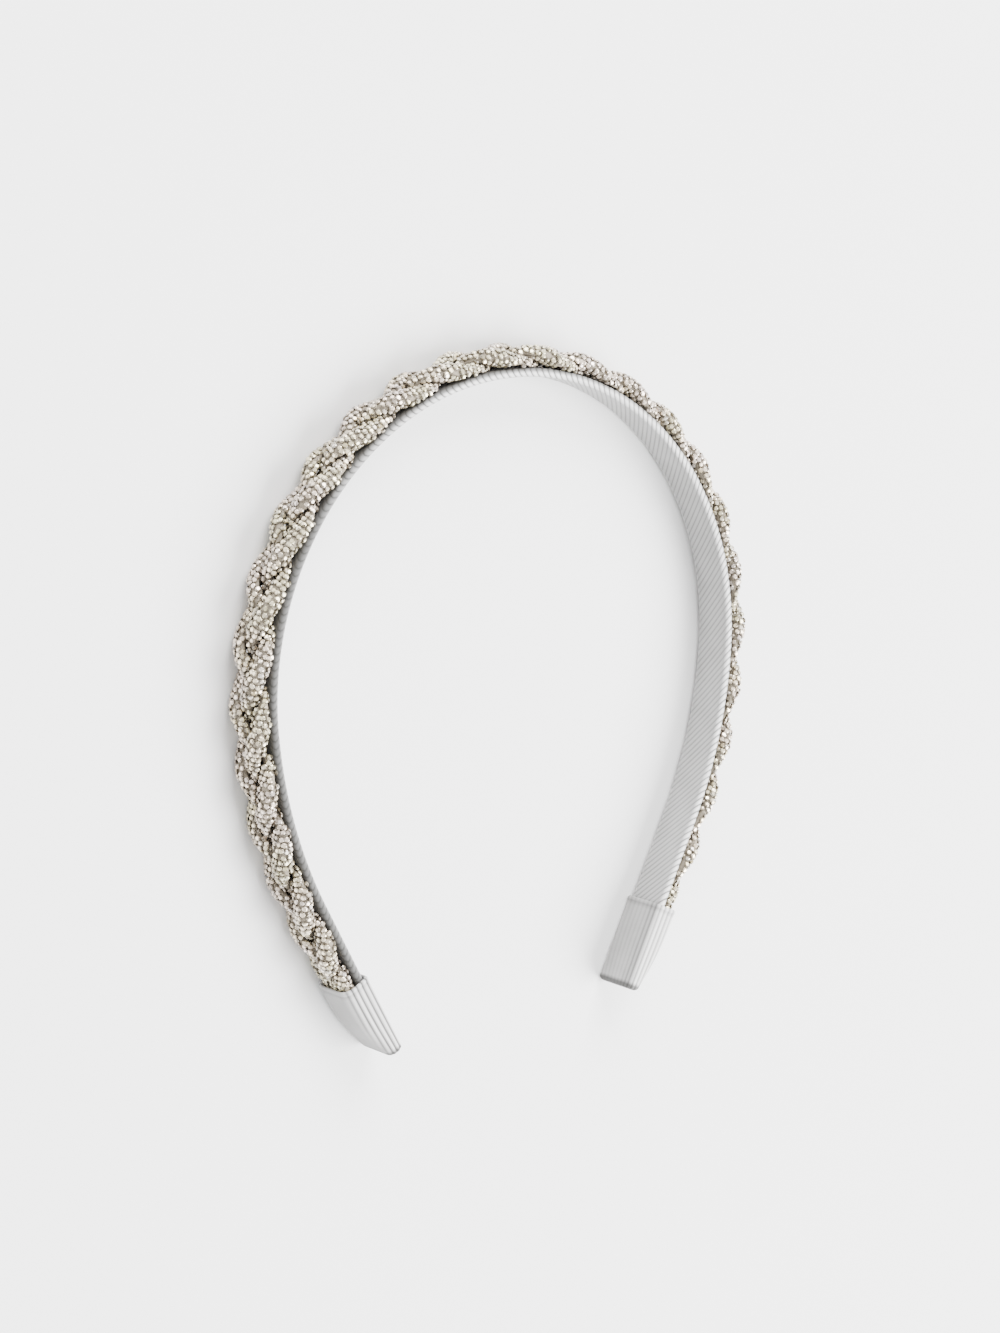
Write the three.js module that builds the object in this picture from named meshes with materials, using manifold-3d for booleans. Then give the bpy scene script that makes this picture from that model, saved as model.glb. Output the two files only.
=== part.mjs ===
// A hard hair band: a ribbon-covered arch with a braid of three crystal ropes along its outer face,
// and a ribbon sleeve closed over each end, where the braid's ends are tucked in.
// Millimetres. The arch lies on its side in the XY plane: sleeve_left is at -X and sleeve_right at
// +X, +Y runs to the crown, and +Z is the front edge of the band, facing up.
import * as THREE from "three";
import { mergeVertices } from "three/addons/utils/BufferGeometryUtils.js";
import Module from "manifold-3d";

const wasm = await Module();
wasm.setup();

// Arch, measured along the band's inner face from the crown down each leg
const CROWN_RADIUS = 65;
const CROWN_ANGLE = THREE.MathUtils.degToRad(94.5);
const SIDE_RADIUS = 104;
const SIDE_ANGLE = THREE.MathUtils.degToRad(23);
const LEG_LENGTH = 41.7; // straight, to the tip of the sleeve
const ARC_STEP = THREE.MathUtils.degToRad(5);

// Band: a hard core in ribbon, with a narrower bare tongue inside each sleeve
const BAND_WIDTH = 10.1;
const BAND_THICKNESS = 2;
const BAND_EDGE_ROUND = 0.5;
const TONGUE_THICKNESS = 1.2;
const TONGUE_ROOT = 3; // length of the tongue inside the band

// Sleeve: ribbon folded over the end of the band, as a wedge that thins towards its tip
const SLEEVE_LENGTH = 21;
const SLEEVE_WIDTH = 11.6;
const SLEEVE_WALL = 1;
const SLEEVE_STEP_IN = 0.8; // how far the sleeve stands proud of the band's inner face
const SLEEVE_MOUTH_HEIGHT = 6.2; // outer face above the band's inner face, at the mouth
const SLEEVE_TIP_HEIGHT = 2.7; // the same at the tip
const SLEEVE_FULLNESS = 2.6; // 1 for a straight wedge, more for an outer face that bulges
const SLEEVE_EDGE_ROUND = 1.3;
const INNER_EDGE_ROUND = 0.3;
const SLEEVE_TIP_ROUND = 0.9;
const FIT_GAP = 0.3; // between touching pieces

// Braid: three crystal ropes, plaited flat
const BRAID_WIDTH = 11.5;
const CROSSING_PITCH = 6.6; // along the band's inner face, from one crossing to the next
const BRAID_SHORT_OF_SLEEVE = 2; // the last crossing ends this far above the sleeve's mouth
const STRAND_WIDTH = 4.8;
const STRAND_HEIGHT = 4.1;
const STRAND_RISE = 1.75; // mean height of a strand's middle above the band's outer face
const STRAND_SWING = 1.2; // how far a strand rises and sinks from that height
const STRAND_GAP = 0.9; // between strands where they cross
const STRAND_TUCK = 5; // length of a strand inside the sleeve
const END_TAPER = 10; // length over which the braid narrows to enter the sleeve
const TUCKED_WIDTH = 3.1; // strand sizes inside the sleeve
const TUCKED_HEIGHT = 2.6;
const TUCKED_RISE = 1.55;
const STRAND_SIDES = 8;
const STEPS_PER_CROSSING = 4;
const SLEEVE_STEPS = 5;
const CORNER_STEPS = 3;
const TIP_STEPS = 3;

const LEG_START = CROWN_RADIUS * CROWN_ANGLE + SIDE_RADIUS * SIDE_ANGLE;
const TIP = LEG_START + LEG_LENGTH;
const MOUTH = TIP - SLEEVE_LENGTH;
const TONGUE_WIDTH = SLEEVE_WIDTH - 2 * (SLEEVE_WALL + FIT_GAP);
const TONGUE_RISE = SLEEVE_WALL + FIT_GAP - SLEEVE_STEP_IN;

// The arch's inner face at a distance along it from the crown, positive down the right leg:
// a point, the direction away from the head and the direction towards the tip.
function archAt(distance) {
  const along = Math.abs(distance);
  const side = distance < 0 ? -1 : 1;
  const crownLength = CROWN_RADIUS * CROWN_ANGLE;
  let angle = Math.min(along / CROWN_RADIUS, CROWN_ANGLE);
  const point = new THREE.Vector2(Math.sin(angle), Math.cos(angle) - 1).multiplyScalar(CROWN_RADIUS);
  if (along > crownLength) {
    const turned = Math.min((along - crownLength) / SIDE_RADIUS, SIDE_ANGLE);
    const end = angle + turned;
    point.x += SIDE_RADIUS * (Math.sin(end) - Math.sin(angle));
    point.y += SIDE_RADIUS * (Math.cos(end) - Math.cos(angle));
    angle = end;
  }
  const straight = Math.max(along - LEG_START, 0);
  point.x += straight * Math.cos(angle);
  point.y -= straight * Math.sin(angle);
  point.x *= side;
  return {
    point,
    outward: new THREE.Vector2(side * Math.sin(angle), Math.cos(angle)),
    tipward: new THREE.Vector2(side * Math.cos(angle), -Math.sin(angle)),
  };
}

// A point in the arch's plane, so far along the arch and so far out from the inner face.
function offArch(distance, out) {
  const { point, outward } = archAt(distance);
  return point.clone().addScaledVector(outward, out);
}

// Distances along the arch from one to another, with a step at each end of an arc.
function archStations(from, to) {
  const bends = [-LEG_START, -CROWN_RADIUS * CROWN_ANGLE, CROWN_RADIUS * CROWN_ANGLE, LEG_START];
  const steps = [ARC_STEP * SIDE_RADIUS, ARC_STEP * CROWN_RADIUS, ARC_STEP * SIDE_RADIUS];
  const stations = [from];
  bends.slice(1).forEach((end, i) => {
    const start = bends[i];
    const count = Math.ceil((end - start) / steps[i]);
    for (let k = 0; k <= count; k++) {
      const at = start + ((end - start) * k) / count;
      if (at > stations.at(-1) && at < to) stations.push(at);
    }
  });
  return [...stations, to];
}

// A closed outline of the stretch of arch between two distances and two heights.
function archOutline(from, to, low, high) {
  const stations = archStations(from, to);
  const inner = stations.map((at) => offArch(at, low));
  const outer = stations.map((at) => offArch(at, high));
  return new THREE.Shape([...inner, ...outer.reverse()]);
}

// A flat outline given a width in Z about the band's middle plane, with rounded edges.
function slab(shape, width, round) {
  const bevel = round > 0;
  const geometry = new THREE.ExtrudeGeometry(shape, {
    depth: width - 2 * round,
    bevelEnabled: bevel,
    bevelThickness: round,
    bevelSize: round,
    bevelOffset: -round,
    bevelSegments: 2,
    curveSegments: 10,
  });
  return geometry.translate(0, 0, round - width / 2);
}

// three.js geometry to a manifold-3d solid, and back
function solidFrom(geometry) {
  const bare = new THREE.BufferGeometry().setAttribute("position", geometry.getAttribute("position"));
  bare.setIndex(geometry.index);
  const merged = mergeVertices(bare, 1e-4);
  return new wasm.Manifold(
    new wasm.Mesh({
      numProp: 3,
      vertProperties: merged.attributes.position.array,
      triVerts: new Uint32Array(merged.index.array),
    }),
  );
}

function geometryFrom(solid) {
  const mesh = solid.getMesh();
  const geometry = new THREE.BufferGeometry();
  geometry.setAttribute("position", new THREE.BufferAttribute(mesh.vertProperties, 3));
  geometry.setIndex(new THREE.BufferAttribute(mesh.triVerts, 1));
  geometry.computeVertexNormals();
  return geometry;
}

// A closed skin through rings of equally many points, flat at both ends.
function loft(rings) {
  const sides = rings[0].length;
  const last = (rings.length - 1) * sides;
  const index = [];
  for (let ring = 0; ring < rings.length - 1; ring++) {
    for (let side = 0; side < sides; side++) {
      const here = ring * sides;
      const next = (side + 1) % sides;
      const [a, b] = [here + side, here + next];
      index.push(a, b, b + sides, a, b + sides, a + sides);
    }
  }
  for (let side = 1; side < sides - 1; side++) {
    index.push(0, side + 1, side, last, last + side, last + side + 1);
  }
  const geometry = new THREE.BufferGeometry().setFromPoints(rings.flat());
  geometry.setIndex(index);
  geometry.computeVertexNormals();
  return geometry;
}

// Band: the ribbon-covered arch between the sleeves, and the bare tongue that runs into both
function bandGeometry() {
  const shoulder = MOUTH - FIT_GAP;
  const covered = archOutline(-shoulder, shoulder, 0, BAND_THICKNESS);
  const band = solidFrom(slab(covered, BAND_WIDTH, BAND_EDGE_ROUND));
  const tongueEnd = TIP - SLEEVE_WALL - FIT_GAP;
  const tongues = [-1, 1].map((side) => {
    const ends = [side * (shoulder - TONGUE_ROOT), side * tongueEnd].sort((a, b) => a - b);
    const top = TONGUE_RISE + TONGUE_THICKNESS;
    return solidFrom(slab(archOutline(...ends, TONGUE_RISE, top), TONGUE_WIDTH, 0));
  });
  return geometryFrom(tongues.reduce((whole, tongue) => whole.add(tongue), band));
}

// One cross-section of the sleeve: a rounded oblong set in from the outside on all four sides.
// x runs from the mouth to the tip, y out from the band's inner face and z across the band.
function sleeveRing(x, inset) {
  const { lerp } = THREE.MathUtils;
  const top = lerp(SLEEVE_MOUTH_HEIGHT, SLEEVE_TIP_HEIGHT, (x / SLEEVE_LENGTH) ** SLEEVE_FULLNESS);
  const halfHeight = (top + SLEEVE_STEP_IN) / 2 - inset;
  const halfWidth = SLEEVE_WIDTH / 2 - inset;
  const round = Math.max(SLEEVE_EDGE_ROUND - inset, INNER_EDGE_ROUND);
  const middle = (top - SLEEVE_STEP_IN) / 2;
  const corners = [[1, 1], [-1, 1], [-1, -1], [1, -1]];
  return corners.flatMap(([sideZ, sideY], quarter) =>
    Array.from({ length: CORNER_STEPS + 1 }, (_, i) => {
      const angle = ((quarter + i / CORNER_STEPS) * Math.PI) / 2;
      const z = sideZ * (halfWidth - round) + round * Math.cos(angle);
      const y = middle + sideY * (halfHeight - round) + round * Math.sin(angle);
      return new THREE.Vector3(x, y, z);
    }),
  );
}

// One skin from the rounded tip back to the mouth, over its hem and down to the bottom of the hollow
function sleeveGeometry() {
  const straight = SLEEVE_LENGTH - SLEEVE_TIP_ROUND;
  const bottom = SLEEVE_LENGTH - SLEEVE_WALL;
  const stations = Array.from({ length: SLEEVE_STEPS + 1 }, (_, i) => i / SLEEVE_STEPS);
  const tip = Array.from({ length: TIP_STEPS }, (_, i) => {
    const angle = ((i + 1) / TIP_STEPS) * (Math.PI / 2);
    const x = straight + SLEEVE_TIP_ROUND * Math.sin(angle);
    return sleeveRing(x, SLEEVE_TIP_ROUND * (1 - Math.cos(angle)));
  });
  const outside = stations.map((share) => sleeveRing(share * straight, 0));
  const hollow = stations.map((share) => sleeveRing(share * bottom, SLEEVE_WALL));
  return loft([...tip.reverse(), ...outside.reverse(), ...hollow]);
}

// How far the braid has narrowed for the sleeve: 0 along the band, 1 from the mouth on
function narrowing(distance) {
  return THREE.MathUtils.smoothstep(Math.abs(distance), MOUTH - END_TAPER, MOUTH);
}

// The strands' middles and half sizes across the braid at one distance along the arch:
// z across the band, y out from its outer face. A strand passes over on its way in from an edge.
function braidAt(distance) {
  const { lerp } = THREE.MathUtils;
  const end = MOUTH - BRAID_SHORT_OF_SLEEVE;
  const crossings = Math.round((2 * end) / CROSSING_PITCH);
  const share = THREE.MathUtils.clamp((end - distance) / (2 * end), 0, 1);
  const phase = Math.PI + (share * crossings * Math.PI) / 3;
  const narrow = narrowing(distance);
  const width = lerp(STRAND_WIDTH, TUCKED_WIDTH, narrow);
  const reach = lerp(BRAID_WIDTH, TONGUE_WIDTH, narrow) / 2;
  const swing = reach - width / 2;
  return [0, 1, 2].map((strand) => {
    const turn = phase + (strand * 2 * Math.PI) / 3;
    return {
      z: -swing * Math.sin(turn),
      y: lerp(STRAND_RISE, TUCKED_RISE, narrow) - lerp(STRAND_SWING, 0, narrow) * Math.sin(2 * turn),
      halfWidth: width / 2,
      halfHeight: lerp(STRAND_HEIGHT, TUCKED_HEIGHT, narrow) / 2,
    };
  });
}

// How far a strand's skin lies from its middle in one direction: its own oval, pressed flat where
// it meets another strand halfway and where it lies on the band.
function skinRadius(strands, own, dirZ, dirY) {
  const { z, y, halfWidth, halfHeight } = strands[own];
  let radius = 1 / Math.hypot(dirZ / halfWidth, dirY / halfHeight);
  strands.forEach((other, i) => {
    const [gapZ, gapY] = [other.z - z, other.y - y];
    const apart = Math.hypot(gapZ, gapY);
    const towards = (dirZ * gapZ + dirY * gapY) / apart;
    if (i !== own && towards > 0) radius = Math.min(radius, (apart - STRAND_GAP) / 2 / towards);
  });
  if (dirY < 0) radius = Math.min(radius, (y - FIT_GAP) / -dirY);
  return radius;
}

function strandGeometry(own) {
  const end = MOUTH - BRAID_SHORT_OF_SLEEVE;
  const crossings = Math.round((2 * end) / CROSSING_PITCH);
  const steps = crossings * STEPS_PER_CROSSING;
  const tucked = MOUTH + STRAND_TUCK;
  const braided = Array.from({ length: steps + 1 }, (_, i) => end - (2 * end * i) / steps);
  const distances = [tucked, MOUTH, ...braided, -MOUTH, -tucked];
  const rings = distances.map((distance) => {
    const strands = braidAt(distance);
    const { z, y } = strands[own];
    return Array.from({ length: STRAND_SIDES }, (_, side) => {
      const angle = (2 * Math.PI * side) / STRAND_SIDES;
      const [dirZ, dirY] = [Math.cos(angle), Math.sin(angle)];
      const radius = skinRadius(strands, own, dirZ, dirY);
      const flat = offArch(distance, BAND_THICKNESS + y + radius * dirY);
      return new THREE.Vector3(flat.x, flat.y, z + radius * dirZ);
    });
  });
  return loft(rings);
}

const ribbon = new THREE.MeshStandardMaterial({ color: 0xd2d1cf, roughness: 0.75, metalness: 0 });
const crystal = new THREE.MeshStandardMaterial({ color: 0xcfc8bb, roughness: 0.25, metalness: 0.6 });

function named(name, geometry, material) {
  const mesh = new THREE.Mesh(geometry, material);
  mesh.name = name;
  return mesh;
}

const headband = new THREE.Group();
headband.add(named("band", bandGeometry(), ribbon));
["strand_a", "strand_b", "strand_c"].forEach((name, own) => {
  headband.add(named(name, strandGeometry(own), crystal));
});

// The sleeves stand at the mouths, along the straight legs, one a mirror image of the other
[-1, 1].forEach((side) => {
  const { point, outward, tipward } = archAt(side * MOUTH);
  const mesh = named(side < 0 ? "sleeve_left" : "sleeve_right", sleeveGeometry(), ribbon);
  const basis = new THREE.Matrix4().makeBasis(
    new THREE.Vector3(tipward.x, tipward.y, 0),
    new THREE.Vector3(outward.x, outward.y, 0),
    new THREE.Vector3(0, 0, side < 0 ? -1 : 1),
  );
  mesh.quaternion.setFromRotationMatrix(basis);
  mesh.position.set(point.x, point.y, 0);
  headband.add(mesh);
});

// The origin is under the middle of the headband as it lies
const bounds = new THREE.Box3().setFromObject(headband, true);
const middle = bounds.getCenter(new THREE.Vector3());
headband.position.set(-middle.x, -middle.y, -bounds.min.z);

export default headband;
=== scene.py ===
"""Crystal headband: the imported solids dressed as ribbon, crystal ropes and ribbon sleeves.

Lengths inside the classes are millimetres along and across the arch, and every mesh is made in
metres in the row frame.
"""

from __future__ import annotations

import logging
import math
from dataclasses import dataclass, field
from enum import Enum

import bmesh
import bpy
import numpy as np
from mathutils import Matrix, Vector

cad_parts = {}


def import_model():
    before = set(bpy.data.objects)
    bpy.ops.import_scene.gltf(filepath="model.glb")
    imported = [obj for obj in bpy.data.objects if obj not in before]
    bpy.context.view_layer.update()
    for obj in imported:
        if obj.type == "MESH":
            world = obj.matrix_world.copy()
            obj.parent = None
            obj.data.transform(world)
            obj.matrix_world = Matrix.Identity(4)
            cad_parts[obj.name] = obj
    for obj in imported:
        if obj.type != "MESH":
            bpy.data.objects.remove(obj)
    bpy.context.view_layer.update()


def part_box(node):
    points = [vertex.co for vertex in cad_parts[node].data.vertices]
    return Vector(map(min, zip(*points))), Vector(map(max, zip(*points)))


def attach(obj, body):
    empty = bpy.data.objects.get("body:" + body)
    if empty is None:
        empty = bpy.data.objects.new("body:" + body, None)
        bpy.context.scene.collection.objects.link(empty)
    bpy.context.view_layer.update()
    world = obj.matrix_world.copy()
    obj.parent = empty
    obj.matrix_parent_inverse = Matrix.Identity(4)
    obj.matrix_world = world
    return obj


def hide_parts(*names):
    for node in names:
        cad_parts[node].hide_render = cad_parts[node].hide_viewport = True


LOG = logging.getLogger("headband")
MM = 0.001
TINY = 1e-3
MERGE = 1e-7

Array = np.ndarray
Colour = tuple[float, float, float]


class Slot(Enum):
    """The record's material slots."""

    RIBBON = "ribbon"
    CRYSTAL = "crystal"


class Attribute(Enum):
    """Names of the numbers that the meshes carry for their finishes, among them painted light and
    shade.
    """

    # Painted light and shade of the ribbon: lit ridges and edges, shaded grooves and faces, the
    # braid's shadow, shade at folds and hems.
    RIDGE = "ridge"
    # Painted light of each crystal facet: glints on the table, shaded flanks, and shade where the
    # ropes touch.
    TINT = "tint"
    STONE = "stone"


class Side(Enum):
    """The two ends of the arch, with the sign of a distance along it."""

    LEFT = -1
    RIGHT = 1


# Finishes


@dataclass(frozen=True)
class Wire:
    """A node socket that can be used in Python arithmetic.

    Attributes:
        graph: The node graph that the socket belongs to.
        socket: The output socket.
    """

    graph: Graph
    socket: bpy.types.NodeSocket

    def __add__(self, other: Wire | float) -> Wire:
        """Returns this value plus another.

        Args:
            other: The value to add.
        """
        return self.graph.math("ADD", self, other)

    def __mul__(self, other: Wire | float) -> Wire:
        """Returns this value times another.

        Args:
            other: The value to multiply by.
        """
        return self.graph.math("MULTIPLY", self, other)

    __radd__ = __add__
    __rmul__ = __mul__


@dataclass
class Graph:
    """A material and its nodes.

    Attributes:
        name: The material's name.
        material: The material.
        shader: Its Principled shader.
    """

    name: str
    material: bpy.types.Material = field(init=False)
    shader: bpy.types.Node = field(init=False)

    def __post_init__(self) -> None:
        """Makes the material, which starts as one Principled shader."""
        self.material = bpy.data.materials.new(self.name)
        self.material.use_nodes = True
        self.shader = self.material.node_tree.nodes["Principled BSDF"]

    def node(
        self, kind: str, settings: dict[str, object], inputs: dict[str | int, Wire | object]
    ) -> bpy.types.Node:
        """Makes one node and returns it.

        Args:
            kind: The node's type name.
            settings: Property values by name.
            inputs: A wire or a constant for each named or numbered input.
        """
        made = self.material.node_tree.nodes.new(kind)
        for key, value in settings.items():
            setattr(made, key, value)
        for key, value in inputs.items():
            self.feed(made.inputs[key], value)
        return made

    def feed(self, socket: bpy.types.NodeSocket, value: Wire | object) -> None:
        """Links a wire to an input, or sets the input to a constant.

        Args:
            socket: The input.
            value: The wire or the constant.
        """
        if isinstance(value, Wire):
            self.material.node_tree.links.new(value.socket, socket)
        else:
            socket.default_value = value

    def math(self, operation: str, left: Wire | float, right: Wire | float) -> Wire:
        """Returns the result of one Math node.

        Args:
            operation: The node's operation.
            left: The first value.
            right: The second value.
        """
        made = self.node("ShaderNodeMath", {"operation": operation}, {0: left, 1: right})
        return Wire(self, made.outputs[0])

    def place(self) -> Wire:
        """Returns the point being shaded, in the object's own coordinates."""
        return Wire(self, self.node("ShaderNodeTexCoord", {}, {}).outputs["Object"])

    def attribute(self, name: Attribute) -> Wire:
        """Returns a number that the mesh carries.

        Args:
            name: Which number.
        """
        made = self.node("ShaderNodeAttribute", {"attribute_name": name.value}, {})
        return Wire(self, made.outputs["Fac"])

    def noise(self, size: float, detail: float = 2.0) -> Wire:
        """Returns a noise from 0 to 1 with blotches of a given size.

        Args:
            size: The blotches' size in millimetres.
            detail: How many finer layers are added.
        """
        inputs = {"Vector": self.place(), "Scale": 1.0 / (size * MM), "Detail": detail}
        return Wire(self, self.node("ShaderNodeTexNoise", {}, inputs).outputs["Fac"])

    def ramp(self, value: Wire, low: float, high: float) -> Wire:
        """Returns a value stretched to run from 0 to 1, and held there.

        Args:
            value: The value.
            low: Where the result is 0.
            high: Where the result is 1.
        """
        inputs = {"Value": value, "From Min": low, "From Max": high}
        made = self.node("ShaderNodeMapRange", {"clamp": True}, inputs)
        return Wire(self, made.outputs["Result"])

    def mix(self, share: Wire | float, low: Wire | Colour, high: Wire | Colour) -> Wire:
        """Returns a mix of two colours.

        Args:
            share: How much of the second colour.
            low: The first colour.
            high: The second colour.
        """
        made = self.node("ShaderNodeMix", {"data_type": "RGBA"}, {"Factor": share})
        for socket, colour in ((made.inputs[6], low), (made.inputs[7], high)):
            self.feed(socket, colour if isinstance(colour, Wire) else (*colour, 1.0))
        return Wire(self, made.outputs[2])

    def bump(self, height: Wire, depth: float) -> Wire:
        """Returns a normal made from a height.

        Args:
            height: The height, from 0 to 1.
            depth: The height's size in millimetres.
        """
        made = self.node("ShaderNodeBump", {}, {"Height": height, "Distance": depth * MM})
        return Wire(self, made.outputs["Normal"])

    def finish(self, inputs: dict[str, Wire | object]) -> bpy.types.Material:
        """Sets the shader's inputs and returns the material.

        Args:
            inputs: A wire or a constant for each named input.
        """
        for key, value in inputs.items():
            self.feed(self.shader.inputs[key], value)
        return self.material


@dataclass(frozen=True)
class RibbonFinish:
    """Ribbed ribbon: a fine yarn, with painted light on the ridges and painted shade in the
    grooves.

    Attributes:
        name: The material's name.
        ridge: Colour on the ridges, where the painted light is full.
        groove: Colour of the painted shade, in the grooves and wherever the ribbon is painted
            darker.
        stain: Colour of faint cloudy patches.
        patch: Size of the patches in millimetres.
        patch_share: How strong they are.
        yarn: Size of the yarn in millimetres.
        yarn_share: How dark it is between the yarns.
        yarn_height: Height of a yarn in millimetres.
        roughness: Roughness, and how much the yarn adds to it.
    """

    name: str
    ridge: Colour
    groove: Colour
    stain: Colour
    patch: float = 7.0
    patch_share: float = 0.5
    yarn: float = 0.22
    yarn_share: float = 0.25
    yarn_height: float = 0.04
    roughness: tuple[float, float] = (0.55, 0.2)

    def material(self) -> bpy.types.Material:
        """Returns the finish as a material."""
        graph = Graph(self.name)
        ridge = graph.attribute(Attribute.RIDGE)
        cloud = graph.ramp(graph.noise(self.patch), 0.4, 0.7) * ridge * self.patch_share
        yarn = graph.noise(self.yarn)
        smooth, added = self.roughness
        # Painted light and shade: the groove colour where the ridge number is low, the ridge
        # colour where it is high.
        woven = graph.mix(ridge, self.groove, self.ridge)
        colour = graph.mix(cloud, woven, self.stain)
        return graph.finish(
            {
                "Base Color": graph.mix(yarn * self.yarn_share, colour, self.groove),
                "Roughness": smooth + added * yarn,
                "Specular IOR Level": 0.25,
                "Sheen Weight": 0.08,
                "Sheen Roughness": 0.4,
                "Normal": graph.bump(yarn, self.yarn_height),
            }
        )


@dataclass(frozen=True)
class CrystalFinish:
    """Backed crystals: each facet has its own painted brightness, for glints and shade, and each
    stone its own tint.

    Attributes:
        name: The material's name.
        dark: Colour of facets in painted shade.
        light: Colour of facets with the brightest painted glint.
        warm: Tint of a few stones.
        cool: Tint of a few others.
        olive: Tint of some patches of the rope.
        rose: Tint of others.
        shares: How strong the cool, olive and rose tints are.
        patch: Size of the patches in millimetres.
        patch_fade: How far the noise goes from its middle to a full tint.
        roughness: Roughness, and how much fine smears add to it.
    """

    name: str
    dark: Colour
    light: Colour
    warm: Colour
    cool: Colour
    olive: Colour
    rose: Colour
    shares: tuple[float, float, float] = (0.7, 0.6, 0.5)
    patch: float = 9.0
    patch_fade: float = 0.14
    roughness: tuple[float, float] = (0.14, 0.12)

    def material(self) -> bpy.types.Material:
        """Returns the finish as a material."""
        graph = Graph(self.name)
        stone = graph.attribute(Attribute.STONE)
        patch = graph.noise(self.patch, detail=0.0)
        cool, olive, rose = self.shares
        tinted = graph.mix(graph.ramp(stone, 0.86, 1.0), self.light, self.warm)
        tinted = graph.mix(graph.ramp(stone, 0.2, 0.0) * cool, tinted, self.cool)
        for fade, share, colour in (
            (self.patch_fade, olive, self.olive),
            (-self.patch_fade, rose, self.rose),
        ):
            tinted = graph.mix(graph.ramp(patch, 0.5, 0.5 + fade) * share, tinted, colour)
        smooth, added = self.roughness
        # The base colour mixes painted glints and painted shade from each facet's number.
        return graph.finish(
            {
                "Base Color": graph.mix(graph.attribute(Attribute.TINT), self.dark, tinted),
                "Metallic": 0.6,
                "Roughness": smooth + added * graph.noise(0.5),
                "Coat Weight": 1.0,
                "Coat Roughness": 0.03,
            }
        )


@dataclass(frozen=True)
class GrainFinish:
    """A matt grainy surface: the backing between the crystals, or the floor.

    Attributes:
        name: The material's name.
        shade: Its darker colour.
        light: Its lighter colour.
        grain: Size of its grain in millimetres.
        height: Height of the grain in millimetres.
        roughness: Roughness, and how much the grain adds to it.
        shine: Strength of its shine.
    """

    name: str
    shade: Colour
    light: Colour
    grain: float
    height: float
    roughness: tuple[float, float]
    shine: float

    def material(self) -> bpy.types.Material:
        """Returns the finish as a material."""
        graph = Graph(self.name)
        grain = graph.noise(self.grain)
        smooth, added = self.roughness
        return graph.finish(
            {
                "Base Color": graph.mix(grain, self.shade, self.light),
                "Roughness": smooth + added * grain,
                "Specular IOR Level": self.shine,
                "Normal": graph.bump(grain, self.height),
            }
        )


# Shapes


@dataclass(frozen=True)
class Arch:
    """The band's inner face as a line in its middle plane.

    A distance runs along it from the crown, negative to the left. Out is away from the head, and
    across is over the band's width, towards its front edge.

    Attributes:
        crown: The crown's inner face, in metres in the row frame.
        crown_radius: Radius over the head.
        crown_angle: Angle of that arc on each side.
        side_radius: Radius of the flatter arc after it.
        side_angle: Angle of the flatter arc.
        leg: Straight length to the tip.
    """

    crown: Vector
    crown_radius: float = 65.0
    crown_angle: float = math.radians(94.5)
    side_radius: float = 104.0
    side_angle: float = math.radians(23.0)
    leg: float = 41.7

    @property
    def tip(self) -> float:
        """Distance from the crown to the tip."""
        arcs = self.crown_radius * self.crown_angle + self.side_radius * self.side_angle
        return arcs + self.leg

    def place(self, distance: Array, out: Array, across: Array) -> Array:
        """Turns distances along, out and across into points.

        Args:
            distance: Distances along the arch.
            out: Distances out from the inner face.
            across: Distances across the band.

        Returns:
            Points in metres, with one more axis than the distances.
        """
        distance, out, across = np.broadcast_arrays(distance, out, across)
        along = np.abs(distance)
        side = np.where(distance < 0, -1.0, 1.0)
        first = np.minimum(along / self.crown_radius, self.crown_angle)
        rest = along - self.crown_radius * self.crown_angle
        second = first + np.clip(rest / self.side_radius, 0.0, self.side_angle)
        straight = np.maximum(rest - self.side_radius * self.side_angle, 0.0)
        x = self.crown_radius * np.sin(first) + self.side_radius * (np.sin(second) - np.sin(first))
        y = self.crown_radius * (np.cos(first) - 1.0)
        y = y + self.side_radius * (np.cos(second) - np.cos(first))
        x = x + straight * np.cos(second) + out * np.sin(second)
        y = y - straight * np.sin(second) + out * np.cos(second)
        return np.stack([side * x, y, across], axis=-1) * MM + np.array(self.crown)


def tube(rows: Array, ridge: Array) -> bmesh.types.BMesh:
    """Makes a skin through rings of points, closed at both ends.

    Args:
        rows: Rings of points in metres, as an array of rings by points by 3.
        ridge: A number from 0 to 1 for each point, carrying painted light and shade.

    Returns:
        The skin, with its faces outward.
    """
    rings, points = rows.shape[:2]
    skin = bmesh.new()
    layer = skin.verts.layers.float.new(Attribute.RIDGE.value)
    bmesh.ops.create_grid(skin, x_segments=points, y_segments=rings - 1, size=1.0)
    closed = np.concatenate([rows, rows[:, :1]], axis=1).reshape(-1, 3)
    heights = np.concatenate([ridge, ridge[:, :1]], axis=1).reshape(-1)
    skin.verts.ensure_lookup_table()
    for vertex, point, height in zip(skin.verts, closed, heights, strict=True):
        vertex.co = point
        vertex[layer] = height
    seam = [skin.verts[ring * (points + 1) + end] for ring in range(rings) for end in (0, points)]
    bmesh.ops.remove_doubles(skin, verts=seam, dist=MERGE)
    rims = [edge for edge in skin.edges if edge.is_boundary]
    bmesh.ops.holes_fill(skin, edges=rims, sides=0)
    bmesh.ops.recalc_face_normals(skin, faces=skin.faces)
    return skin


def shown(
    name: str, mesh: bpy.types.Mesh, finishes: list[bpy.types.Material], slot: Slot, *nodes: str
) -> bpy.types.Object:
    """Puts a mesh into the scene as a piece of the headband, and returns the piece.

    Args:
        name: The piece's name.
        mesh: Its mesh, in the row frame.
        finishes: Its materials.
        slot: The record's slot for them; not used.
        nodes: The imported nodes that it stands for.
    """
    for material in finishes:
        mesh.materials.append(material)
    piece = bpy.data.objects.new(name, mesh)
    bpy.context.scene.collection.objects.link(piece)
    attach(piece, "root")
    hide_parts(*nodes)
    LOG.info("%s: %d faces", name, len(mesh.polygons))
    return piece


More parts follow.
